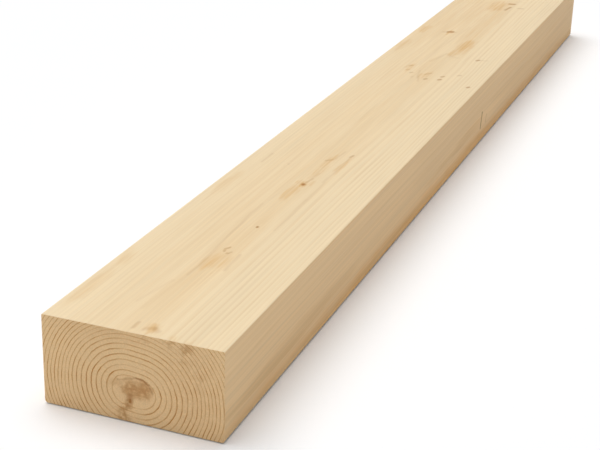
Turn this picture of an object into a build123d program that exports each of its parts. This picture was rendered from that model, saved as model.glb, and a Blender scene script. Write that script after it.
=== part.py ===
from build123d import *
import os

# A short length of planed softwood, lying on its broad face.
# Width runs along X, length along Y and thickness along Z, in millimetres.
# The origin is the middle of the underside.
width = 100.0
thickness = 50.0
length = 900.0

# Eased edges. The planed upper edges stay nearly sharp, and the lower ones are rubbed rounder.
# The saw leaves both ends with only the splinters taken off.
upper_edge_radius = 0.8
lower_edge_radius = 1.6
end_edge_radius = 0.35


def plank_section():
    """The cross-section, standing on its underside, with its four long edges eased."""
    section = Rectangle(width, thickness, align=(Align.CENTER, Align.MIN))
    section = fillet(section.vertices().group_by(Axis.Y)[-1], upper_edge_radius)
    return fillet(section.vertices().group_by(Axis.Y)[0], lower_edge_radius)


def plank_stock():
    """The section run out to its length, half to each side of the origin."""
    return extrude(Plane.XZ * plank_section(), amount=length / 2, both=True)


def with_eased_ends(stock):
    """The stock with the sharp edge round both sawn ends broken."""
    end_faces = stock.faces().sort_by(Axis.Y)
    end_edges = end_faces[0].edges() + end_faces[-1].edges()
    return fillet(end_edges, end_edge_radius)


os.makedirs("parts", exist_ok=True)
plank = with_eased_ends(plank_stock())
plank.label = "plank"
export_step(plank, "parts/plank.step")
print(f"plank: {plank.volume / (width * thickness * length):.4%} of its box is wood")
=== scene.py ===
# %% [markdown]
# # A short length of planed spruce
#
# The object is one sawn and planed piece of softwood, 50 by 100 by 900 mm, lying on its broad face.
# Nothing is joined to it, so all the work is in one mesh and in the look of the wood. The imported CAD
# model is loaded first, as a fixed frame in metres, and the dressed plank takes the place of its solid.

# %% Load the frame
import math
from collections import namedtuple

import bpy
import numpy as np
from mathutils import Euler, Matrix, Vector


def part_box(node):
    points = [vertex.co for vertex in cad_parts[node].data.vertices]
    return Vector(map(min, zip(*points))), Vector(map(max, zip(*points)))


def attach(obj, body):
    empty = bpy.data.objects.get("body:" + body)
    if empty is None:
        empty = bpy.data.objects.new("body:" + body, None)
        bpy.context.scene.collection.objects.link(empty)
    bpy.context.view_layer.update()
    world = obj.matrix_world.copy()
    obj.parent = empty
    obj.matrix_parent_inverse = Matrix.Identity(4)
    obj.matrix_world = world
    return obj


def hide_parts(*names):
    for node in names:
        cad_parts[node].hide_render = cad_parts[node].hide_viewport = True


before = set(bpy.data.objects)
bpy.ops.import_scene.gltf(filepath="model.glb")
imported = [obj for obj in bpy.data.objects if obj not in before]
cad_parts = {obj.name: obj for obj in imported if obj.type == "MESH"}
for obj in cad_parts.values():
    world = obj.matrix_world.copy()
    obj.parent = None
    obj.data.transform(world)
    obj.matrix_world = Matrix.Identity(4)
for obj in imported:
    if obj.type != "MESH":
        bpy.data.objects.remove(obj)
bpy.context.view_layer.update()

low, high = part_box("plank")
WIDTH, LENGTH, THICKNESS = high - low

# %% [markdown]
# ## Two helpers
#
# A node tree is a list of boxes joined by wires. One helper is enough for all of them here: it adds a
# node, gives it its settings, and fills its inputs in order or by name. An input that is itself an
# output of another node becomes a wire. Colours are written as the hex values that a paint program
# shows, and a second helper turns those into the linear numbers that a renderer adds up.

# %% Node and colour helpers
MATH = "ShaderNodeMath"
VECTOR = "ShaderNodeVectorMath"
RANGE = "ShaderNodeMapRange"
NOISE = "ShaderNodeTexNoise"
MIX = "ShaderNodeMix"


def add(tree, kind, *inputs, named=None, **settings):
    """Adds a node and returns its output, or all its outputs where it has several."""
    node = tree.nodes.new(kind)
    for setting, value in settings.items():
        setattr(node, setting, value)
    in_order = zip([socket for socket in node.inputs if socket.enabled], inputs)
    by_name = ((node.inputs[name], value) for name, value in (named or {}).items())
    for socket, value in (*in_order, *by_name):
        if isinstance(value, bpy.types.NodeSocket):
            tree.links.new(value, socket)
        elif value is not None:
            socket.default_value = value
    outputs = [socket for socket in node.outputs if socket.enabled]
    return outputs[0] if len(outputs) == 1 else node.outputs


def linear(hex_colour):
    """An sRGB hex colour as linear red, green, blue and alpha."""
    shares = [int(hex_colour[start:start + 2], 16) / 255 for start in (1, 3, 5)]
    return (*[c / 12.92 if c <= 0.04045 else ((c + 0.055) / 1.055) ** 2.4 for c in shares], 1.0)


print("mid grey in linear light:", [round(c, 3) for c in linear("#808080")])

# %% [markdown]
# ## How the tree grew
#
# A plank's pattern is not drawn on it. It is what the saw laid bare of a trunk: growth rings around the
# heart, and branches that start at the heart and run outwards. So the rings are described once, in the
# solid, and every face shows its own cut through them: circles on the sawn ends, long lines on the
# edges, arches on the broad face. An image would need joining at every edge, and this needs none.
#
# Places are measured as on a bench, in millimetres: across from the left edge, along from the near
# end, and up from the floor. The heart lies low in the section, so the rings there are wider than high.
# The tree grew about 3 mm a year while young and 2 mm later on.

# %% The heart and the rings
MM = 0.001
EDGE = WIDTH / MM          # the right edge in bench millimetres
FACE = THICKNESS / MM      # and the broad face
HEART_ACROSS = 51.0
HEART_HEIGHT = 17.5
# Places along, and how much deeper the heart runs there. The ring that just grazes the broad face shows
# as its calm middle strip, and a few tenths of a millimetre widen or close that strip.
HEART_SINKS = ((0.0, 0.25), (170.0, -0.05), (250.0, 0.2), (430.0, -0.1), (530.0, -0.15),
               (585.0, 0.6), (900.0, 1.3))
FLATNESS = 4.4             # how much wider than high the first rings are
LEAN = 0.105               # the whole pattern is turned a little, down on the right
YOUNG_RING = 2.85
OLD_RING = 2.0
SLOWED_AT = 30.0           # the radius at which growth slowed
FIRST_RING = 0.1           # the share of a ring already grown at the heart
print("rings across half the width:", round((EDGE / 2 - SLOWED_AT) / OLD_RING + SLOWED_AT / YOUNG_RING))

# %% [markdown]
# ## Branches, stains and painted shade
#
# Spruce carries its small branches in rings round the trunk, and each leaves a pin knot where the saw
# crosses it. Some sit at the near end, where one runs down the cut face as a brown spike. Others break
# the broad face along its middle. Each is a thin rod from one place to another, with its thickness, how
# dark it is, and how far it pushes the rings aside. A few grain lines that stand out are rods as well.
# Warm, resin-fed wood lies round some of the knots, and is given as rounded patches. Modelled knots would
# do for one face, but rods in the solid mark every face that cuts them. Their places were read off the
# photograph with a ruler and turned to millimetres.
# One long patch along the foot of the right edge is painted shade: it makes that edge darker and warmer
# towards the floor.

# %% Branches, as rods in bench millimetres
Branch = namedtuple("Branch", "start end thickness dark push")
BRANCH_RISE = 10.0         # a branch from the heart comes out this much nearer to the near end
PAST_FACE = 1.0            # and would have gone on past the broad face
STREAK_DEPTH = 0.3         # a streak's middle lies this far below the face


def from_heart(across, along, thickness, dark, push):
    """A branch from the heart up to a place on the broad face, rising towards the near end."""
    heart = (HEART_ACROSS, along + BRANCH_RISE, HEART_HEIGHT)
    return Branch(heart, (across, along, FACE + PAST_FACE), thickness, dark, push)


def on_face(across, along, to_across, to_along, thickness, dark):
    """A thin dark streak that lies in the broad face."""
    level = FACE - STREAK_DEPTH
    return Branch((across, along, level), (to_across, to_along, level), thickness, dark, 0.0)


BRANCHES = {
    "pin by the near end": from_heart(58.9, 8.4, 2.0, 0.42, 0.5),
    "pin's left arm": on_face(54.2, 6.6, 57.4, 8.4, 1.9, 0.20),
    "pin's right arm": on_face(59.4, 7.8, 61.6, 6.0, 1.8, 0.19),
    "root of the spike": Branch((49.0, 0.0, 14.8), (48.9, 0.0, 12.2), 2.9, 0.60, 0.0),
    "root's core": Branch((48.9, 0.0, 12.6), (48.9, 0.0, 11.4), 1.5, 0.9, 0.0),
    "spike down the near end": Branch((48.8, 0.0, 11.4), (46.9, 0.0, 6.9), 1.8, 0.36, 0.0),
    "foot of the spike": Branch((45.6, 0.0, 6.4), (45.3, 0.0, 2.0), 3.6, 0.13, 0.0),
    "heart's rim, left": Branch((42.0, 0.0, 22.4), (52.6, 0.0, 25.5), 0.9, 0.35, 0.0),
    "heart's rim, top": Branch((52.6, 0.0, 25.5), (56.2, 0.0, 24.9), 1.0, 0.70, 0.0),
    "heart's rim, right": Branch((56.2, 0.0, 24.9), (59.3, 0.0, 22.8), 1.0, 0.70, 0.0),
    "heart's rim, end": Branch((59.3, 0.0, 22.8), (61.2, 0.0, 18.5), 0.9, 0.40, 0.0),
    "curl, left": on_face(50.2, 110.3, 49.5, 113.2, 1.2, 0.38),
    "curl, upper lip": on_face(49.5, 113.2, 51.0, 115.7, 1.2, 0.42),
    "curl, lower lip": on_face(52.6, 108.0, 53.8, 107.8, 1.2, 0.36),
    "curl, right": on_face(53.8, 107.8, 54.4, 109.8, 1.1, 0.30),
    "dot past the curl": from_heart(53.4, 149.5, 1.4, 0.85, 0.6),
    "eye": from_heart(52.2, 227.4, 2.2, 0.95, 0.8),
    "eye's lid": on_face(52.7, 232.0, 54.0, 239.9, 1.5, 0.26),
    "eye's tail": on_face(54.0, 239.9, 54.2, 250.3, 1.6, 0.12),
    "arrow": on_face(49.9, 276.0, 53.2, 279.6, 1.6, 0.26),
    "arrow's shaft": on_face(53.6, 279.0, 55.6, 298.0, 1.3, 0.14),
    "dash": on_face(62.2, 289.6, 62.7, 292.8, 1.5, 0.42),
    "dash's line": on_face(62.4, 290.0, 63.2, 266.0, 1.4, 0.15),
    "dash's line, near": on_face(63.2, 266.0, 62.3, 236.0, 1.4, 0.12),
    "faint dot": from_heart(29.0, 258.2, 1.0, 0.25, 0.6),
    "whorl, far left": on_face(31.9, 527.2, 33.1, 528.8, 2.0, 0.32),
    "whorl, left": on_face(33.2, 514.3, 34.2, 515.7, 1.8, 0.25),
    "whorl, left of middle": on_face(38.0, 507.5, 39.1, 509.0, 1.8, 0.31),
    "whorl, below it": on_face(42.3, 494.6, 42.6, 498.0, 1.4, 0.16),
    "whorl, bar": on_face(43.0, 516.4, 45.7, 502.9, 1.6, 0.12),
    "whorl, foot of the bar": on_face(45.7, 502.9, 50.7, 486.1, 1.6, 0.14),
    "whorl, brow": on_face(50.2, 508.4, 53.6, 512.5, 1.7, 0.26),
    "whorl, middle": on_face(53.7, 494.4, 54.9, 496.0, 2.0, 0.46),
    "whorl, right of middle": on_face(64.4, 497.2, 65.6, 498.8, 2.0, 0.60),
    "whorl, right": on_face(64.4, 506.7, 65.5, 508.3, 1.9, 0.50),
    "whorl, far right": on_face(76.0, 516.3, 77.1, 517.7, 1.8, 0.28),
    "pin near the right edge": on_face(90.8, 486.0, 92.0, 487.6, 2.0, 0.60),
    "dash on the right": on_face(77.9, 568.6, 79.1, 570.4, 2.1, 0.60),
    "its faint end": on_face(80.0, 570.6, 85.8, 571.7, 1.7, 0.14),
    "broad pin": on_face(29.6, 654.0, 33.0, 655.8, 2.8, 0.85),
    "broad pin's tail": on_face(25.5, 652.0, 36.0, 655.6, 2.2, 0.16),
    "far dash": on_face(56.4, 765.5, 58.3, 778.5, 2.6, 0.55),
    "far pin": on_face(54.6, 793.3, 58.8, 793.5, 3.0, 0.62),
    "far shade": on_face(66.8, 778.2, 70.0, 779.0, 2.6, 0.24),
    "scar on the right edge": Branch((EDGE, 506.8, 25.3), (EDGE, 504.3, 12.5), 1.3, 0.75, 0.0),
    "scar's faint twin": Branch((EDGE, 522.5, 19.2), (EDGE, 521.3, 12.7), 0.8, 0.30, 0.0),
}
# Grain lines that stand out: at the borders of the middle strip, in an arch past the whorl, and beyond it
GRAIN_LINES = (
    on_face(48.4, 5.8, 48.3, 11.2, 1.6, 0.25),
    on_face(36.4, 33.7, 41.7, 63.1, 1.7, 0.07),
    on_face(42.8, 27.7, 45.6, 72.7, 1.8, 0.06),
    on_face(45.4, 72.7, 46.1, 87.5, 1.7, 0.18),
    on_face(46.1, 87.5, 44.2, 118.0, 1.8, 0.16),
    on_face(44.2, 118.0, 41.6, 168.2, 1.7, 0.14),
    on_face(41.6, 168.2, 42.0, 185.6, 1.8, 0.14),
    on_face(42.0, 185.6, 46.8, 225.0, 1.8, 0.05),
    on_face(61.3, 86.5, 60.5, 108.4, 1.7, 0.17),
    on_face(64.0, 150.0, 63.8, 203.8, 1.6, 0.11),
    on_face(63.8, 203.8, 63.2, 236.0, 1.6, 0.08),
    on_face(12.2, 256.0, 12.4, 274.0, 1.5, 0.14),
    on_face(43.2, 548.8, 48.9, 578.7, 2.3, 0.11),
    on_face(48.9, 578.7, 55.4, 571.5, 2.4, 0.08),
    on_face(55.4, 571.5, 61.3, 569.1, 2.4, 0.08),
    on_face(37.7, 535.8, 38.5, 594.2, 2.0, 0.07),
    on_face(38.5, 594.2, 42.9, 681.0, 2.0, 0.07),
)
print(len(BRANCHES), "branches and streaks,", len(GRAIN_LINES), "grain lines")

# %% Stains and painted shade, as rounded patches in bench millimetres
Stain = namedtuple("Stain", "centre reach strength")
STAINS_AND_PAINTED_SHADE = {
    "heart at the near end": Stain((52.4, 0.0, 18.8), (13.0, 12.0, 8.0), 1.0),
    "heart's left half": Stain((48.4, 0.0, 18.6), (7.5, 10.0, 7.0), 0.95),
    "heart's right half": Stain((56.2, 0.0, 19.2), (7.5, 10.0, 7.5), 1.0),
    "heart's middle": Stain((52.3, 0.0, 18.9), (6.0, 10.0, 6.5), 1.0),
    "heart, left": Stain((41.5, 0.0, 20.8), (6.0, 9.0, 4.5), 0.4),
    "foot of the spike": Stain((45.4, 0.0, 4.0), (6.5, 6.0, 8.5), 0.8),
    "along the spike": Stain((47.8, 0.0, 9.6), (4.0, 6.0, 6.0), 0.75),
    "right of the near end": Stain((84.0, 0.0, 26.0), (26.0, 6.0, 36.0), 0.14),
    "shade above, left": Stain((71.0, 0.0, 48.5), (4.5, 6.0, 4.0), 0.55),
    "shade above, right": Stain((79.5, 0.0, 46.5), (5.5, 6.0, 5.5), 0.65),
    "shade below these": Stain((78.5, 0.0, 40.0), (3.5, 6.0, 3.0), 0.4),
    "shade on the right": Stain((86.5, 0.0, 33.0), (3.5, 6.0, 6.0), 0.35),
    "round the pin by the near end": Stain((57.0, 7.5, FACE), (6.5, 9.0, 6.0), 0.75),
    "before the curl": Stain((52.5, 97.0, FACE), (12.0, 26.0, 8.0), 0.85),
    "before the eye": Stain((49.8, 212.0, FACE), (6.5, 26.0, 8.0), 0.7),
    "round the eye": Stain((52.2, 227.5, FACE), (8.5, 13.0, 8.0), 1.0),
    "past the eye": Stain((52.5, 255.0, FACE), (5.5, 26.0, 8.0), 0.65),
    "round the arrow": Stain((51.5, 276.0, FACE), (5.5, 22.0, 8.0), 0.8),
    "round the dash": Stain((62.8, 272.0, FACE), (3.8, 26.0, 8.0), 0.7),
    "round the whorl": Stain((50.8, 504.0, FACE), (10.0, 20.0, 8.0), 0.6),
    "left of the whorl": Stain((33.0, 525.0, FACE), (7.0, 22.0, 8.0), 0.55),
    "beyond the whorl": Stain((56.5, 611.0, FACE), (10.5, 44.0, 8.0), 1.0),
    "tip of the one beyond": Stain((53.0, 585.0, FACE), (7.0, 24.0, 8.0), 0.75),
    "round the broad pin": Stain((31.5, 652.0, FACE), (6.0, 20.0, 8.0), 0.9),
    "at the left edge": Stain((7.5, 655.0, FACE), (8.0, 24.0, 8.0), 0.75),
    "along the left edge": Stain((6.0, 592.0, FACE), (8.0, 34.0, 8.0), 0.6),
    "left edge by the near end": Stain((6.0, 40.0, FACE), (5.5, 40.0, 7.0), 0.45),
    "left edge past that": Stain((6.0, 78.0, FACE), (5.5, 22.0, 7.0), 0.5),
    "left edge before the middle": Stain((8.0, 205.0, FACE), (6.0, 45.0, 7.0), 0.4),
    "left and middle": Stain((38.0, 450.0, FACE), (45.0, 900.0, 14.0), 0.25),
    "middle, near half": Stain((52.0, 100.0, FACE), (15.0, 150.0, 10.0), 0.38),
    "middle, far half": Stain((52.0, 700.0, FACE), (16.0, 230.0, 10.0), 0.45),
    "round the far pins": Stain((46.5, 777.0, FACE), (15.0, 42.0, 8.0), 0.9),
    "far half": Stain((18.0, 740.0, FACE), (58.0, 300.0, 10.0), 0.35),
    # Painted shade: the lower part of the right edge is made darker and warmer towards the floor
    "painted shade along the foot of the right edge": Stain((EDGE, 450.0, -1.0), (9.0, 700.0, 15.5), 0.8),
}
print(len(STAINS_AND_PAINTED_SHADE), "stains")

# %% [markdown]
# ## One field for the shader and the mesh
#
# The colours need the rings in the shader, and the fine relief needs them in Geometry Nodes. The mesh could
# carry the rings to the shader as an attribute, but fine lines would blur between its vertices. Maths and
# noise nodes are the same in both, so one function builds the same group for either kind of tree. The
# steps in it follow the growth: bench place, a wander of the trunk, distance from the heart, push of the
# branches, ring number, and then the dark late wood that closes each year. Rods and patches are many, and
# Cycles has room for only some 250 values at a time. A clamp would keep the values of every rod waiting,
# so a plain minimum and maximum hold the rods' shares between 0 and 1.

# %% The wander of the trunk
SEED = 4.0
MIDDLE = (0.5, 0.5, 0.5)
# Waves in mm across and along, and the sway in mm across and up
WANDER = ((60.0, 420.0, 2.4, 0.3), (14.0, 150.0, 0.8, 0.3), (2.6, 40.0, 0.26, 0.2))
CALM_END, CALM_LENGTH = 0.12, 260.0    # the slow wander starts small at the near end


def sway(tree, bench, waves_mm, reach_mm, turn=0.0, detail=1.0):
    """How far soft noise, with waves of the given sizes, moves a place about."""
    steps = [1 / size for size in waves_mm]
    spot = add(tree, VECTOR, bench, steps, (SEED, SEED * turn, -SEED), operation="MULTIPLY_ADD")
    drift = add(tree, NOISE, spot, 1.0, detail)["Color"]
    drift = add(tree, VECTOR, drift, MIDDLE, operation="SUBTRACT")
    return add(tree, VECTOR, drift, reach_mm, operation="MULTIPLY")


def wandered(tree, bench, along):
    """The bench place with a slow, a middling and a fine sway added across and up."""
    placed = bench
    calm = add(tree, RANGE, along, 0.0, CALM_LENGTH, CALM_END, 1.0)
    for order, (across_mm, along_mm, sideways, upwards) in enumerate(WANDER):
        drift = sway(tree, bench, (across_mm, along_mm, across_mm), (2 * sideways, 0.0, 2 * upwards), order)
        if order == 0:
            drift = add(tree, VECTOR, drift, calm, operation="SCALE")
        placed = add(tree, VECTOR, placed, drift, operation="ADD")
    return placed


print("trunk wanders in", len(WANDER), "waves, up to", WANDER[0][2], "mm sideways")

# %% Branches, stains and painted shade as fields
ALONG_GRAIN = (1.0, 0.6, 1.0)          # knots look drawn out along the grain
KNOT_CORE, PATCH_CORE = 0.15, 0.25     # the shares of a rod and of a patch that have its full strength
PUSH_REACH = 4.0                       # how many thicknesses away the rings still bend
FADE_REACH, FADE = 3.0, 0.85           # and how near they are lost in the knot's clear wood
FRAYED_MM, FRAYED_SWAY = (3.5, 26.0, 3.5), (1.6, 3.0, 1.6)    # the knots' rims are a little frayed


def branch_fields(tree, bench):
    """How dark the wood is with branches, how far they push the rings outwards, and where rings fade."""
    dark, push, fade = 0.0, 0.0, 0.0
    frayed = sway(tree, bench, FRAYED_MM, FRAYED_SWAY)
    frayed = add(tree, VECTOR, bench, frayed, operation="ADD")
    shortened = add(tree, VECTOR, frayed, ALONG_GRAIN, operation="MULTIPLY")
    for branch in (*BRANCHES.values(), *GRAIN_LINES):
        start, end = (Vector(place) * Vector(ALONG_GRAIN) for place in (branch.start, branch.end))
        run = end - start
        away = add(tree, VECTOR, shortened, start, operation="SUBTRACT")
        share = add(tree, VECTOR, away, run / run.length_squared, operation="DOT_PRODUCT")
        share = add(tree, MATH, share, 0.0, operation="MAXIMUM")
        share = add(tree, MATH, share, 1.0, operation="MINIMUM")
        nearest = add(tree, VECTOR, run, share, operation="SCALE")
        gap = add(tree, VECTOR, away, nearest, operation="DISTANCE")
        core = add(tree, RANGE, gap, branch.thickness, KNOT_CORE * branch.thickness, 0.0, branch.dark,
                   interpolation_type="SMOOTHSTEP", clamp=False)
        dark = add(tree, MATH, dark, core, operation="MAXIMUM")
        if branch.push:
            bulge = add(tree, RANGE, gap, PUSH_REACH * branch.thickness, 0.0, 0.0, branch.push,
                        interpolation_type="SMOOTHSTEP", clamp=False)
            push = add(tree, MATH, push, bulge, operation="ADD")
            near = add(tree, RANGE, gap, FADE_REACH * branch.thickness, branch.thickness, 0.0, FADE,
                       interpolation_type="SMOOTHSTEP", clamp=False)
            fade = add(tree, MATH, fade, near, operation="MAXIMUM")
    return dark, push, fade


def stain_and_shade_field(tree, bench):
    """How warm the wood is with resin, and with painted shade along the foot of the right edge, from 0 to
    1.
    """
    warm = 0.0
    for stain in STAINS_AND_PAINTED_SHADE.values():
        away = add(tree, VECTOR, bench, stain.centre, operation="SUBTRACT")
        away = add(tree, VECTOR, away, [1 / reach for reach in stain.reach], operation="MULTIPLY")
        away = add(tree, VECTOR, away, operation="LENGTH")
        patch = add(tree, RANGE, away, 1.0, PATCH_CORE, 0.0, stain.strength,
                    interpolation_type="SMOOTHSTEP", clamp=False)
        warm = add(tree, MATH, warm, patch, operation="MAXIMUM")
    return warm


print("rings bend as far as", PUSH_REACH, "thicknesses from a branch")

# %% The rings as a field
OLD_START = SLOWED_AT - OLD_RING * SLOWED_AT / YOUNG_RING


def ring_number(tree, placed, along, push):
    """The count of years from the heart outwards, and how far the ring there lies above or below it."""
    across, _, height = add(tree, "ShaderNodeSeparateXYZ", placed)
    right = add(tree, MATH, across, HEART_ACROSS, operation="SUBTRACT")
    up = add(tree, MATH, height, HEART_HEIGHT - HEART_SINKS[0][1], operation="SUBTRACT")
    for (start, depth), (stop, next_depth) in zip(HEART_SINKS, HEART_SINKS[1:]):
        sunk = add(tree, RANGE, along, start, stop, 0.0, next_depth - depth,
                   interpolation_type="SMOOTHSTEP", clamp=False)
        up = add(tree, MATH, up, sunk, operation="ADD")
    aside = add(tree, MATH, up, -LEAN, right, operation="MULTIPLY_ADD")
    above = add(tree, MATH, right, LEAN, up, operation="MULTIPLY_ADD")
    aside = add(tree, MATH, aside, aside, FLATNESS ** 2, operation="MULTIPLY_ADD")
    aside = add(tree, MATH, aside, operation="SQRT")
    aside = add(tree, MATH, aside, FLATNESS, operation="SUBTRACT")
    square = add(tree, MATH, above, above, operation="MULTIPLY")
    radius = add(tree, MATH, aside, aside, square, operation="MULTIPLY_ADD")
    radius = add(tree, MATH, radius, operation="SQRT")
    lift = add(tree, MATH, above, radius, operation="DIVIDE")
    lift = add(tree, MATH, lift, operation="ABSOLUTE")
    grown = add(tree, MATH, radius, push, operation="SUBTRACT")
    young = add(tree, MATH, grown, YOUNG_RING, operation="DIVIDE")
    old = add(tree, MATH, grown, OLD_START, operation="SUBTRACT")
    old = add(tree, MATH, old, OLD_RING, operation="DIVIDE")
    years = add(tree, MATH, young, old, 1.0, operation="SMOOTH_MAX")
    return add(tree, MATH, years, FIRST_RING, operation="SUBTRACT"), lift


print("the older rings, run back, would start at", round(OLD_START, 1), "mm from the heart")

# %% The group for either kind of tree
WEAK_YEAR = 0.55                                       # the share of late wood that a poor year has
PATCHY_MM, PATCHY = (7.0, 80.0, 7.0), (0.45, 1.2)      # late wood is stronger in some stretches
NOISE_SPAN = (0.3, 0.7)                                # soft noise seldom leaves this span
PITH_YEARS = (2.0, 3.8)                                # the first years at the heart close without a line
RAGGED_MM, RAGGED_SWAY = (4.5, 22.0, 4.5), (7.0, 34.0, 7.0)   # how torn the rims of the stains and of the painted shade are


def growth_group(kind):
    """A node group that tells for any place in the timber what grew there, and where shade is painted."""
    tree = bpy.data.node_groups.new("spruce growth", kind)
    tree.interface.new_socket("Place", in_out="INPUT", socket_type="NodeSocketVector")
    for name in ("Season", "Strength", "Knot", "Stain", "Lift"):
        tree.interface.new_socket(name, in_out="OUTPUT", socket_type="NodeSocketFloat")
    place = add(tree, "NodeGroupInput")["Place"]
    corner = (EDGE / 2, LENGTH / MM / 2, 0.0)
    bench = add(tree, VECTOR, place, (1 / MM, 1 / MM, 1 / MM), corner, operation="MULTIPLY_ADD")
    along = add(tree, "ShaderNodeSeparateXYZ", bench)["Y"]
    placed = wandered(tree, bench, along)
    dark, push, fade = branch_fields(tree, bench)
    ragged = sway(tree, bench, RAGGED_MM, RAGGED_SWAY, detail=2.0)
    warm = stain_and_shade_field(tree, add(tree, VECTOR, bench, ragged, operation="ADD"))
    years, lift = ring_number(tree, placed, along, push)
    season = add(tree, MATH, years, operation="FRACT")
    year = add(tree, MATH, years, operation="FLOOR")
    chance = add(tree, "ShaderNodeTexWhiteNoise", year, noise_dimensions="1D")["Value"]
    strength = add(tree, RANGE, chance, 0.0, 1.0, WEAK_YEAR, 1.0)
    patchy = add(tree, VECTOR, bench, [1 / size for size in PATCHY_MM], operation="MULTIPLY")
    patchy = add(tree, NOISE, patchy, 1.0, 1.0)["Fac"]
    patchy = add(tree, RANGE, patchy, *NOISE_SPAN, *PATCHY)
    strength = add(tree, MATH, strength, patchy, operation="MULTIPLY")
    kept = add(tree, MATH, 1.0, fade, operation="SUBTRACT")
    strength = add(tree, MATH, strength, kept, operation="MULTIPLY")
    past_pith = add(tree, RANGE, years, *PITH_YEARS, interpolation_type="SMOOTHSTEP")
    strength = add(tree, MATH, strength, past_pith, operation="MULTIPLY")
    add(tree, "NodeGroupOutput", season, strength, dark, warm, lift)
    return tree


def late_wood(tree, grown, band):
    """How much of the dark late wood that closes a year is at a place. The band gives the shares of the
    year at which it begins, is full and ends."""
    begins, full, ends = band
    rising = add(tree, RANGE, grown["Season"], begins, full, interpolation_type="SMOOTHSTEP")
    ending = add(tree, RANGE, grown["Season"], 1.0, ends, interpolation_type="SMOOTHSTEP")
    late = add(tree, MATH, rising, ending, operation="MULTIPLY")
    return add(tree, MATH, late, grown["Strength"], operation="MULTIPLY")


shader_growth = growth_group("ShaderNodeTree")
mesh_growth = growth_group("GeometryNodeTree")
print("growth group:", len(shader_growth.nodes), "nodes in each kind of tree")

# %% [markdown]
# ## Spruce, planed and sawn
#
# Planed spruce is pale straw with honey-coloured late wood, and it has a dull sheen, because the plane
# lays the fibres flat. On the sawn ends the same fibres stand open like cut straws, so they drink light:
# the end is browner, matt, and the rings show strongly. The edge shows the rings as fine straight lines.
# One function mixes all three finishes from the growth group, with its own colours for each. Three
# separate materials would be easier to read, but a change to the wood would have to be made three times.
#
# How strong the lines are depends on how the saw crossed the rings, and the growth group tells that as a
# lift, 0 beside the heart and 1 straight above it. A finish's calm is two lifts, and then the lines'
# share and an even tone at the first of them. At the second the lines have the finish's late share.

# %% How the lines show on a finish
Finish = namedtuple("Finish", "early late knot stain band late_share left_share calm strand_mm strand_low"
                    " fibre_mm fibre_share roughness")
SHARP_BAND = (0.68, 0.93, 0.985)     # late wood darkens slowly and stops short
SOFT_BAND = (0.25, 0.78, 0.87)       # planing smears it
PALER_ACROSS = (-0.2 * WIDTH, 0.1 * WIDTH)    # from a finish's left share of the lines to all of them


def line_share(tree, place, grown, finish):
    """How much of the late wood's colour shows at a place on this finish."""
    calm_lift, full_lift, calm_share, calm_tone = finish.calm
    sharp = add(tree, RANGE, grown["Lift"], calm_lift, full_lift, calm_share, finish.late_share,
                interpolation_type="SMOOTHSTEP")
    across = add(tree, "ShaderNodeSeparateXYZ", place)["X"]
    paler = add(tree, RANGE, across, *PALER_ACROSS, finish.left_share, 1.0, interpolation_type="SMOOTHSTEP")
    sharp = add(tree, MATH, sharp, paler, operation="MULTIPLY")
    tone = add(tree, RANGE, grown["Lift"], calm_lift, full_lift, calm_tone, 0.0,
               interpolation_type="SMOOTHSTEP")
    return add(tree, MATH, late_wood(tree, grown, finish.band), sharp, tone, operation="MULTIPLY_ADD")


print("late wood fills", round(SOFT_BAND[2] - SOFT_BAND[0], 2), "of a year when planed,",
      round(SHARP_BAND[2] - SHARP_BAND[0], 2), "when sawn across")

# %% Tones over the lines
# Fibres are about 0.03 mm thick, too fine to show, so they are drawn as streaks about a millimetre wide
FIBRE_FACE = (0.9, 70.0, 0.9)
FIBRE_EDGE = (1.2, 160.0, 1.2)
FIBRE_END = (0.7, 0.7, 0.7)
FIBRE_SPAN = (0.25, 0.75)   # fibre noise seldom leaves this span
CLOUD_MM = (30.0, 250.0, 30.0)
CLOUD_SHARE = 0.02          # slow, faint clouds in the tone
STRAND_HIGH = 1.15          # resin soaks in along strands, and the painted shade at the foot of the right edge follows them, more in some than in others
FAR_TONE = 0.94             # the far end is a little darker


def streaks(tree, place, sizes_mm, detail=2.0):
    """Soft noise from 0 to 1, with waves of the given sizes across, along and up."""
    spot = add(tree, VECTOR, place, [1 / (size * MM) for size in sizes_mm], operation="MULTIPLY")
    return add(tree, NOISE, spot, 1.0, detail)["Fac"]


def wood_colour(tree, place, grown, late_share, fibre, finish):
    """Early and late wood, then stains and painted shade in strands, then knots, then the shade of fibres
    and clouds.
    """
    colour = add(tree, MIX, late_share, linear(finish.early), linear(finish.late), data_type="RGBA")
    strand = streaks(tree, place, finish.strand_mm)
    strand = add(tree, RANGE, strand, *NOISE_SPAN, finish.strand_low, STRAND_HIGH)
    warm = add(tree, MATH, grown["Stain"], strand, operation="MULTIPLY", use_clamp=True)
    colour = add(tree, MIX, warm, colour, linear(finish.stain), data_type="RGBA")
    colour = add(tree, MIX, grown["Knot"], colour, linear(finish.knot), data_type="RGBA")
    shade = add(tree, RANGE, fibre, *FIBRE_SPAN, 1 - finish.fibre_share, 1 + finish.fibre_share)
    cloud = streaks(tree, place, CLOUD_MM)
    drift = add(tree, RANGE, cloud, *NOISE_SPAN, 1 - CLOUD_SHARE, 1 + CLOUD_SHARE)
    shade = add(tree, MATH, shade, drift, operation="MULTIPLY")
    along = add(tree, "ShaderNodeSeparateXYZ", place)["Y"]
    far_tone = add(tree, RANGE, along, -LENGTH / 2, LENGTH / 2, 1.0, FAR_TONE)
    shade = add(tree, MATH, shade, far_tone, operation="MULTIPLY")
    return add(tree, VECTOR, colour, shade, operation="SCALE")


print("far end is darker by", round(100 * (1 - FAR_TONE)), "percent, clouds shift the tone by",
      round(100 * CLOUD_SHARE), "percent")

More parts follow.
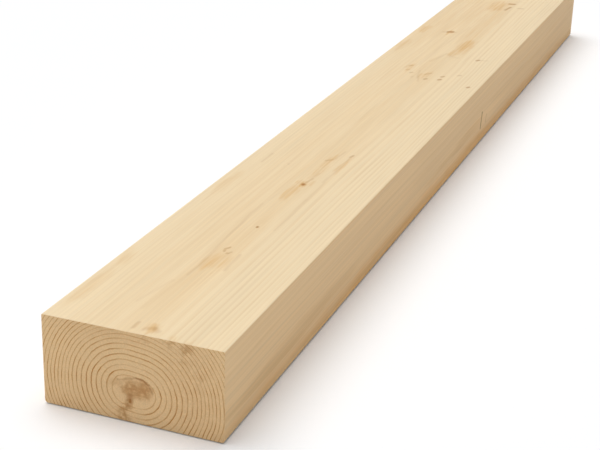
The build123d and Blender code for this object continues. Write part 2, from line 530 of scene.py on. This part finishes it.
# %% Spruce, as one function
WOOD_IOR = 1.5
OPEN_PORES = 0.2            # raw wood has so many open pores that little of its surface can mirror
GLOSS_SWING = 0.05          # fibres differ in roughness
BUMP_DEPTH, BUMP_STRENGTH = 0.04 * MM, 0.3
LATE_HEIGHT = 0.5           # the hard late wood stands up, beside the fibres' own height


def spruce(name, finish):
    """A procedural spruce material for one kind of cut surface."""
    material = bpy.data.materials.new(name)
    material.use_nodes = True
    tree = material.node_tree
    tree.nodes.clear()
    place = add(tree, "ShaderNodeTexCoord")["Object"]
    grown = add(tree, "ShaderNodeGroup", place, node_tree=shader_growth)
    fibre = streaks(tree, place, finish.fibre_mm)
    late_share = line_share(tree, place, grown, finish)
    colour = wood_colour(tree, place, grown, late_share, fibre, finish)
    smoother, rougher = finish.roughness - GLOSS_SWING, finish.roughness + GLOSS_SWING
    gloss = add(tree, RANGE, fibre, *NOISE_SPAN, smoother, rougher)
    height = add(tree, MATH, late_share, LATE_HEIGHT, fibre, operation="MULTIPLY_ADD")
    normal = add(tree, "ShaderNodeBump",
                 named={"Strength": BUMP_STRENGTH, "Distance": BUMP_DEPTH, "Height": height})
    surface = add(tree, "ShaderNodeBsdfPrincipled",
                  named={"Base Color": colour, "Roughness": gloss, "IOR": WOOD_IOR,
                         "Specular IOR Level": OPEN_PORES, "Normal": normal})
    add(tree, "ShaderNodeOutputMaterial", surface)
    return material


print("bump of spruce:", round(BUMP_DEPTH / MM, 2), "mm")

# %% The three finishes
# Planed face: pale straw, with soft honey lines that leave the middle strip calm, and a dull sheen
planed_face = spruce("planed_spruce_face", Finish(
    early="#eed8b3", late="#d2ab71", knot="#a8702a", stain="#dcb47c", band=SOFT_BAND, late_share=0.275,
    left_share=0.5, calm=(1.0, 0.99, 0.1, 0.06), strand_mm=(1.8, 60.0, 1.8), strand_low=0.35,
    fibre_mm=FIBRE_FACE, fibre_share=0.04, roughness=0.6))
# Planed edge: warmer and streaky, with fine straight lines that are strongest at the heart's height
# its stain colour also paints the warm shade along the foot of the right edge
planed_edge = spruce("planed_spruce_edge", Finish(
    early="#efcb9a", late="#d0a062", knot="#8a5c24", stain="#ebb269", band=SOFT_BAND, late_share=0.13,
    left_share=1.0, calm=(0.1, 0.55, 0.31, 0.055), strand_mm=(2.5, 45.0, 2.5), strand_low=0.5,
    fibre_mm=FIBRE_EDGE, fibre_share=0.07, roughness=0.65))
# Sawn end: browner and quite matt, with rings that darken slowly outwards and then stop short
sawn_end = spruce("sawn_spruce_end_grain", Finish(
    early="#f3ce9b", late="#bc7310", knot="#a66a30", stain="#ca9762", band=SHARP_BAND, late_share=1.05,
    left_share=1.0, calm=(1.0, 0.4, 0.75, 0.0), strand_mm=(5.0, 5.0, 1.2), strand_low=0.8,
    fibre_mm=FIBRE_END, fibre_share=0.09, roughness=0.8))
print("finishes:", [material.name for material in (planed_face, planed_edge, sawn_end)])

# %% [markdown]
# ## The plank's mesh
#
# The solid is a rule, a box with eased edges, so Geometry Nodes build it: a box with many cells, its
# grid lines drawn together at the edges and where a knot breaks the surface, then the edges rounded, then
# the relief. A Bevel modifier could ease the edges of a plain box, but the relief needs the cells as well,
# and lines that are placed by hand give both. The relief only goes inwards, so the plank stays in the
# size of its solid: soft early wood and knots lie a few hundredths of a millimetre lower than late wood.

# %% Where the grid lines run
UPPER_EDGE, LOWER_EDGE, END_EDGE = 0.8, 1.6, 0.35     # edge radii in mm, as in the solid
FINE_ROW, COARSE_ROW, KNOT_ROOM = 1.6, 9.0, 5.0       # rows in mm, and the room for fine ones round a knot
SKIN = 1.0                                            # a rod that starts this near the face lies in it
CELLS_ACROSS, CELLS_UP, EDGE_CELLS = 112, 46, 2


def knot_span(branch):
    """The stretch along the plank, in mm, over which a branch breaks a surface."""
    in_surface = branch.start[2] > FACE - SKIN or branch.start[0] == EDGE
    places = (branch.start[1], branch.end[1]) if in_surface else (branch.end[1],)
    return min(places), max(places)


def row_stretches():
    """Stretches along the plank as (mm, cells): fine rows around knots, coarse ones between."""
    length = LENGTH / MM
    stretches, reached = [(END_EDGE, 1)], END_EDGE
    for first, last in sorted(knot_span(branch) for branch in BRANCHES.values()):
        first, last = max(first - KNOT_ROOM, reached), min(last + KNOT_ROOM, length - END_EDGE)
        if last <= reached:
            continue
        if first > reached:
            stretches.append((first - reached, math.ceil((first - reached) / COARSE_ROW)))
        stretches.append((last - first, math.ceil((last - first) / FINE_ROW)))
        reached = last
    rest = length - END_EDGE - reached
    return [*stretches, (rest, math.ceil(rest / COARSE_ROW)), (END_EDGE, 1)]


ROWS = row_stretches()
EDGE_COLUMNS = [(UPPER_EDGE, EDGE_CELLS), (LOWER_EDGE - UPPER_EDGE, EDGE_CELLS)]
COLUMNS = [*EDGE_COLUMNS, (EDGE - 2 * LOWER_EDGE, CELLS_ACROSS), *reversed(EDGE_COLUMNS)]
LAYERS = [(LOWER_EDGE, 2 * EDGE_CELLS), (FACE - LOWER_EDGE - UPPER_EDGE, CELLS_UP),
          (UPPER_EDGE, EDGE_CELLS + 1)]
cells = [sum(count for _, count in lines) for lines in (COLUMNS, ROWS, LAYERS)]
print("cells across, along and up:", cells)

# %% The tree's inputs
blank = bpy.data.node_groups.new("planed plank", "GeometryNodeTree")
SIZES = {"Width": WIDTH, "Length": LENGTH, "Thickness": THICKNESS, "Upper edge": UPPER_EDGE * MM,
         "Lower edge": LOWER_EDGE * MM, "End edge": END_EDGE * MM, "Early wood depth": 0.03 * MM,
         "Knot depth": 0.08 * MM, "Plane wave": 0.12 * MM}
size_inputs = {}
for name in SIZES:
    size_inputs[name] = blank.interface.new_socket(name, in_out="INPUT", socket_type="NodeSocketFloat")
blank.interface.new_socket("Plank", in_out="OUTPUT", socket_type="NodeSocketGeometry")
given = add(blank, "NodeGroupInput")
box_size = add(blank, "ShaderNodeCombineXYZ", given["Width"], given["Length"], given["Thickness"])
half_size = add(blank, VECTOR, box_size, 0.5, operation="SCALE")
plank_shape = add(blank, "GeometryNodeMeshCube", box_size, *[count + 1 for count in cells])["Mesh"]
print("inputs:", list(size_inputs))


# %% Draw the grid lines together
def drawn_together(tree, share, stretches):
    """The share of the length reached at a share of the cells, straight within each stretch."""
    all_mm = sum(mm for mm, _ in stretches)
    all_cells = sum(count for _, count in stretches)
    reached, passed = 0.0, 0
    for mm, count in stretches:
        start, stop = passed / all_cells, (passed + count) / all_cells
        part = add(tree, RANGE, share, start, stop, 0.0, mm / all_mm)
        reached = add(tree, MATH, reached, part, operation="ADD")
        passed += count
    return reached


at = add(blank, "GeometryNodeInputPosition")
shares = add(blank, VECTOR, at, box_size, operation="DIVIDE")
shares = add(blank, VECTOR, shares, MIDDLE, operation="ADD")
shares = add(blank, "ShaderNodeSeparateXYZ", shares)
drawn = [drawn_together(blank, share, lines) for share, lines in zip(shares, (COLUMNS, ROWS, LAYERS))]
drawn = add(blank, "ShaderNodeCombineXYZ", *drawn)
drawn = add(blank, VECTOR, drawn, MIDDLE, operation="SUBTRACT")
drawn = add(blank, VECTOR, drawn, box_size, operation="MULTIPLY")
plank_shape = add(blank, "GeometryNodeSetPosition", plank_shape, True, drawn)
print("grid lines placed over", len(ROWS), "stretches of the length")

# %% Take the splinters off the ends
ROUND_SHARE = 1 - math.sqrt(0.5)      # how far a rounded corner's middle lies inside the sharp one
TOUCH = 0.01 * MM                     # a vertex this near a side's plane lies in it
side_of = add(blank, VECTOR, at, operation="SIGN")
distance = add(blank, VECTOR, at, operation="ABSOLUTE")
outside = add(blank, VECTOR, distance, half_size, operation="SUBTRACT")
outside = add(blank, VECTOR, outside, (TOUCH, TOUCH, TOUCH), operation="ADD")
outside = add(blank, VECTOR, outside, operation="SIGN")
outside = add(blank, VECTOR, outside, (0.0, 0.0, 0.0), operation="MAXIMUM")
on_side, on_end, on_broad = add(blank, "ShaderNodeSeparateXYZ", outside)
on_rim = add(blank, MATH, on_side, on_broad, operation="MAXIMUM")
on_rim = add(blank, MATH, on_rim, on_end, operation="MULTIPLY")
inset = add(blank, MATH, given["End edge"], -ROUND_SHARE, operation="MULTIPLY")
inset = add(blank, MATH, inset, on_rim, operation="MULTIPLY")
inset = add(blank, VECTOR, outside, inset, operation="SCALE")
inset = add(blank, VECTOR, inset, side_of, operation="MULTIPLY")
plank_shape = add(blank, "GeometryNodeSetPosition", plank_shape, True, None, inset)
print("rim of each end goes in by", round(END_EDGE * ROUND_SHARE, 2), "mm")

# %% Round the long edges
FAR_AWAY = 10.0                       # metres: no place is this far along, so the ends stay as they are
upper = add(blank, "ShaderNodeSeparateXYZ", at)["Z"]
upper = add(blank, MATH, upper, 0.0, operation="GREATER_THAN")
edge = add(blank, MIX, upper, given["Lower edge"], given["Upper edge"])
inner = add(blank, "ShaderNodeCombineXYZ", edge, -FAR_AWAY, edge)
inner = add(blank, VECTOR, half_size, inner, operation="SUBTRACT")
beyond = add(blank, VECTOR, distance, inner, operation="SUBTRACT")
beyond = add(blank, VECTOR, beyond, (0.0, 0.0, 0.0), operation="MAXIMUM")
beyond_side, _, beyond_broad = add(blank, "ShaderNodeSeparateXYZ", beyond)
most = add(blank, MATH, beyond_side, beyond_broad, operation="MAXIMUM")
whole = add(blank, VECTOR, beyond, operation="LENGTH")
pulled = add(blank, MATH, most, whole, operation="DIVIDE")
pulled = add(blank, MATH, pulled, 1.0, operation="SUBTRACT")
pulled = add(blank, VECTOR, beyond, pulled, operation="SCALE")
pulled = add(blank, VECTOR, pulled, side_of, operation="MULTIPLY")
to_floor = add(blank, MATH, given["Thickness"], 0.5, operation="MULTIPLY")
to_floor = add(blank, "ShaderNodeCombineXYZ", 0.0, 0.0, to_floor)
pulled = add(blank, VECTOR, pulled, to_floor, operation="ADD")
plank_shape = add(blank, "GeometryNodeSetPosition", plank_shape, True, None, pulled)
print("long edges rounded by", UPPER_EDGE, "mm above and", LOWER_EDGE, "mm below")

# %% Sink the relief
WAVE_MM = (90.0, 160.0, 90.0)         # planing leaves the surface very slightly wavy
grown = add(blank, "GeometryNodeGroup", at, node_tree=mesh_growth)
early = add(blank, MATH, 1.0, late_wood(blank, grown, SHARP_BAND), operation="SUBTRACT")
depth = add(blank, MATH, early, given["Early wood depth"], operation="MULTIPLY")
depth = add(blank, MATH, grown["Knot"], given["Knot depth"], depth, operation="MULTIPLY_ADD")
wave = streaks(blank, at, WAVE_MM, detail=0.0)
depth = add(blank, MATH, wave, given["Plane wave"], depth, operation="MULTIPLY_ADD")
depth = add(blank, MATH, depth, -1.0, operation="MULTIPLY")
outwards = add(blank, "GeometryNodeInputNormal")["Normal"]
sunk = add(blank, VECTOR, outwards, depth, operation="SCALE")
plank_shape = add(blank, "GeometryNodeSetPosition", plank_shape, True, None, sunk)
plank_shape = add(blank, "GeometryNodeSetShadeSmooth", plank_shape)
depths = ("Early wood depth", "Knot depth", "Plane wave")
print("relief in mm:", {name: round(SIZES[name] / MM, 2) for name in depths})

# %% Give each side its finish
STEEP = 0.7                           # a face this steep, as a cosine, belongs to the edge or the end
plank_shape = add(blank, "GeometryNodeRealizeInstances", plank_shape)
plank_shape = add(blank, "GeometryNodeSetMaterial", plank_shape, True, planed_face)
facing = add(blank, VECTOR, outwards, operation="ABSOLUTE")
facing_side, facing_end, _ = add(blank, "ShaderNodeSeparateXYZ", facing)
for steepness, finish in ((facing_side, planed_edge), (facing_end, sawn_end)):
    chosen = add(blank, MATH, steepness, STEEP, operation="GREATER_THAN")
    plank_shape = add(blank, "GeometryNodeSetMaterial", plank_shape, chosen, finish)
add(blank, "NodeGroupOutput", plank_shape)
print("plank tree:", len(blank.nodes), "nodes")

# %% [markdown]
# ## From rule to mesh
#
# A modifier's result exists only while Blender evaluates it. The inputs are set on the modifier first,
# each by its socket's own identifier, then the evaluated shape is copied into a plain mesh and the
# modifier goes. The Apply command would do the same, but it depends on what is selected.

# %% Evaluate the plank
plank = bpy.data.objects.new("spruce_plank", bpy.data.meshes.new("spruce_plank"))
bpy.context.scene.collection.objects.link(plank)
modifier = plank.modifiers.new("planed plank", "NODES")
modifier.node_group = blank
for name, value in SIZES.items():
    modifier[size_inputs[name].identifier] = value
evaluated = plank.evaluated_get(bpy.context.evaluated_depsgraph_get())
mesh = bpy.data.meshes.new_from_object(evaluated)
plank.modifiers.remove(modifier)
plank.data = mesh
mesh.name = "spruce_plank"
if mesh.materials[0] is None:
    mesh.materials.pop(index=0)      # the box node brings an empty slot with it
triangles = sum(len(face.vertices) - 2 for face in mesh.polygons)
print("plank mesh:", len(mesh.vertices), "vertices", triangles, "triangles",
      [material.name for material in mesh.materials])

# %% [markdown]
# ## A flat layout and a place in the frame
#
# The mesh gets a flat layout of its faces, so that a copy of the finish can be stored as a picture later:
# the four long sides as strips, and the two ends large below them. An automatic unwrap would scatter the
# faces, and the strips follow the plank's own measures. Then the plank takes the solid's place.

# %% Lay the faces out flat
GUTTER = 0.004
END_BAND = 0.30                     # the share of the layout that the two ends get
END_WIDTH = 0.5
PARTS = 6                           # of the band of long sides: two for each broad face, one for each edge
corner_vertex = np.empty(len(mesh.loops), dtype=np.int32)
mesh.loops.foreach_get("vertex_index", corner_vertex)
points = np.empty(len(mesh.vertices) * 3, dtype=np.float32)
mesh.vertices.foreach_get("co", points)
across, along, up = ((points.reshape(-1, 3)[corner_vertex] - low) / (high - low)).T
normals = [face.normal for face in mesh.polygons]
facing = np.repeat(normals, [face.loop_total for face in mesh.polygons], axis=0)
is_end = np.abs(facing[:, 1]) > STEEP
is_side = (np.abs(facing[:, 0]) > STEEP) & ~is_end
is_broad = ~is_end & ~is_side
layout = np.empty((len(corner_vertex), 2))
long_band = 1 - END_BAND
# For each long side: its corners, what runs up its strip, the strip's first part and how many it has
strips = ((is_broad & (facing[:, 2] > 0), across, 0, 2), (is_broad & (facing[:, 2] <= 0), across, 2, 2),
          (is_side & (facing[:, 0] > 0), up, 4, 1), (is_side & (facing[:, 0] <= 0), up, 5, 1))
for chosen, height, first, wide in strips:
    bottom = END_BAND + long_band * first / PARTS + GUTTER
    room = long_band * wide / PARTS - 2 * GUTTER
    layout[chosen] = np.stack([GUTTER + along * (1 - 2 * GUTTER), bottom + height * room], 1)[chosen]
for chosen, left in ((is_end & (facing[:, 1] < 0), 0.0), (is_end & (facing[:, 1] > 0), END_WIDTH)):
    spread = left + GUTTER + across * (END_WIDTH - 2 * GUTTER)
    layout[chosen] = np.stack([spread, GUTTER + up * (END_BAND - 2 * GUTTER)], 1)[chosen]
flat_map = mesh.uv_layers.new(name="OFBake")
flat_map.data.foreach_set("uv", layout.astype(np.float32).ravel())
print("layout spans", layout.min(0).round(3), layout.max(0).round(3))

# %% Put the plank in the frame
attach(plank, "root")
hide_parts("plank")
print(plank.name, "takes the place of the solid")

# %% [markdown]
# ## Floor and light
#
# The plank lies on white studio paper. A plain floor takes its shadow. The floor adds a little of its own
# light, but only where it is in sight, so that it reads as white while the light on the timber stays at a
# plain level. About a third of the light is an even, slightly cool sky. The rest is one wide, soft and
# slightly warm lamp from the left and behind, which leaves the right edge and the near end in soft shade.
# A ring of softboxes would do as well, but sky and lamp need only two strengths.

# %% Floor
FLOOR_SIZE = 40.0
FLOOR_DROP = 0.5 * MM       # below the plank, so that the two never lie in one plane
FLOOR_GLOW = 0.016


def in_sight(tree):
    """1 for rays that bring a surface to the eye, straight or by way of gloss or glass, otherwise 0."""
    rays = add(tree, "ShaderNodeLightPath")
    seen = add(tree, MATH, rays["Is Camera Ray"], rays["Is Glossy Ray"], operation="MAXIMUM")
    return add(tree, MATH, seen, rays["Is Transmission Ray"], operation="MAXIMUM")


# Matt white paper: it mirrors nothing and shows only the plank's soft shadow
floor_paper = bpy.data.materials.new("white_studio_paper")
floor_paper.use_nodes = True
tree = floor_paper.node_tree
tree.nodes.clear()
glow = add(tree, MATH, in_sight(tree), FLOOR_GLOW, operation="MULTIPLY")
paper = add(tree, "ShaderNodeBsdfDiffuse", linear("#fdfdff"))
light = add(tree, "ShaderNodeEmission", linear("#ffffff"), glow)
add(tree, "ShaderNodeOutputMaterial", add(tree, "ShaderNodeAddShader", paper, light))
half = FLOOR_SIZE / 2
floor_mesh = bpy.data.meshes.new("floor")
corners = ((-half, -half), (half, -half), (half, half), (-half, half))
floor_mesh.from_pydata([(x, y, -FLOOR_DROP) for x, y in corners], [], [(0, 1, 2, 3)])
floor_mesh.materials.append(floor_paper)
floor = bpy.data.objects.new("floor", floor_mesh)
bpy.context.scene.collection.objects.link(floor)
print("floor of", floor_paper.name, FLOOR_SIZE, "m square")

# %% Sky and lamp
SKY, SKY_TINT = 0.318, "#e9f5ff"      # light on the broad face from the sky
LAMP, LAMP_TINT = 0.739, "#fffbf6"    # and from the lamp
LAMP_WIDTH = math.radians(58)
TO_LAMP = Vector((-0.22, 0.12, 0.95)).normalized()
world = bpy.data.worlds.new("white studio")
bpy.context.scene.world = world
world.use_nodes = True
tree = world.node_tree
tree.nodes.clear()
seen = in_sight(tree)
strength = add(tree, RANGE, seen, 0.0, 1.0, SKY, 1.0)
tint = add(tree, MIX, seen, linear(SKY_TINT), linear("#ffffff"), data_type="RGBA")
add(tree, "ShaderNodeOutputWorld", add(tree, "ShaderNodeBackground", tint, strength))
lamp_data = bpy.data.lights.new("wide soft lamp", "SUN")
lamp_data.energy = LAMP * math.pi / TO_LAMP.z
lamp_data.color = linear(LAMP_TINT)[:3]
lamp_data.angle = LAMP_WIDTH
lamp = bpy.data.objects.new("wide soft lamp", lamp_data)
lamp.rotation_euler = TO_LAMP.to_track_quat("Z", "Y").to_euler()
bpy.context.scene.collection.objects.link(lamp)
print("lamp strength", round(lamp_data.energy, 3))

# %% [markdown]
# ## Camera
#
# The picture was taken from beyond the near end, from the right and above, with a longish lens that keeps
# the plank from flaring. Position, heading, tilt and a small roll were found by laying the edges of the
# box over the edges in the photograph. A camera that tracks a target is simpler, but stays level.

# %% Camera
CAMERA_PLACE = (0.27953, -0.97022, 0.34745)
HEADING, TILT, ROLL = 20.443, 22.184, 1.797      # degrees: turned left, tipped down, rolled
SENSOR, LENS = 36.0, 81.17                       # mm
NEAREST = 0.01                                   # metres, well before the plank
camera_data = bpy.data.cameras.new("camera")
camera_data.sensor_width = SENSOR
camera_data.lens = LENS
camera_data.clip_start = NEAREST
camera = bpy.data.objects.new("camera", camera_data)
camera.location = CAMERA_PLACE
aim = Euler((math.radians(90 - TILT), 0.0, math.radians(HEADING))).to_matrix()
camera.rotation_euler = (aim @ Matrix.Rotation(math.radians(ROLL), 3, "Z")).to_euler()
bpy.context.scene.collection.objects.link(camera)
bpy.context.scene.camera = camera
bpy.context.scene.view_settings.view_transform = "Standard"
print("camera", round(camera.location.length, 2), "m from the plank's middle")
